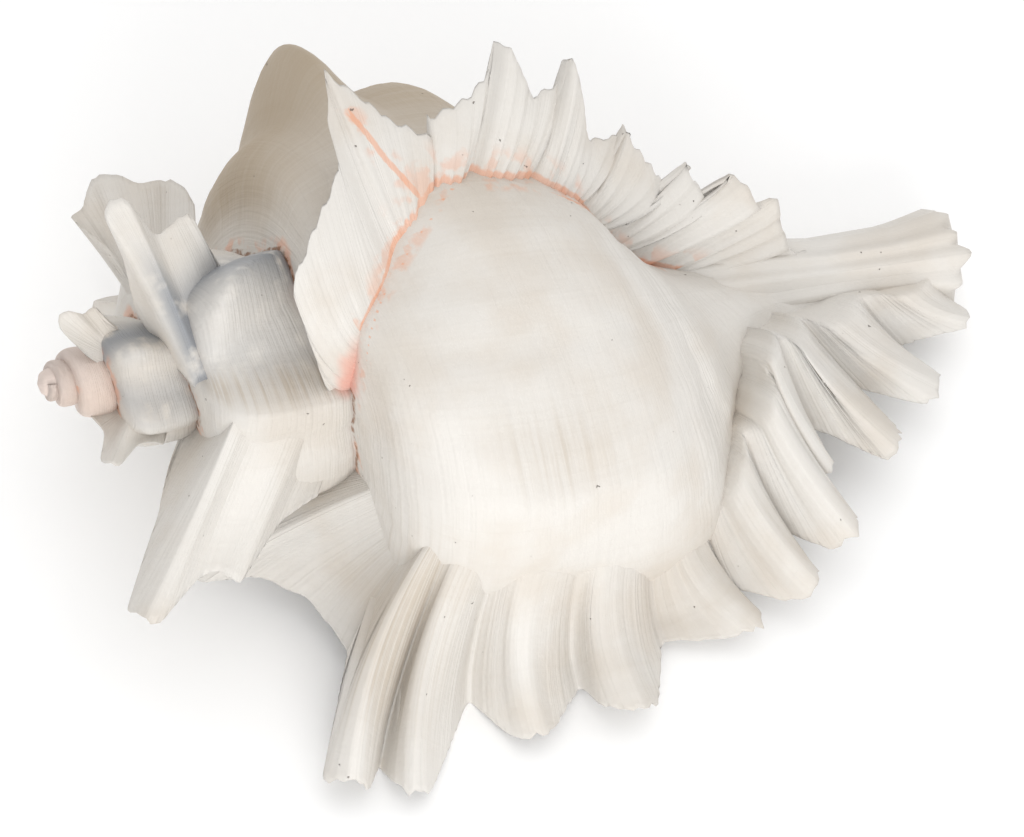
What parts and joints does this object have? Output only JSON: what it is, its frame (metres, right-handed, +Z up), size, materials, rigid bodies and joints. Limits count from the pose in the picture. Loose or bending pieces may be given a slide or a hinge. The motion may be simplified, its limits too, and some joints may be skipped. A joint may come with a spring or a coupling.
{
  "type": "murex shell",
  "caption": "Branched murex sea shell with a coiled spire, rounded body whorl, frilled fan-like varices, an open aperture and a slit siphonal canal, lying aperture down.",
  "frame": {"origin": "centre of the bounding box on the floor plane, with the shell resting aperture down", "axes": "+X runs along the length from the apex side to the canal tip, +Z is up, +Y is away from the viewer of the picture"},
  "size_m": [0.187, 0.1388, 0.0962],
  "materials": {
    "shell": null
  },
  "bodies": {
    "root": {"shell": "shell"}
  },
  "joints": []
}
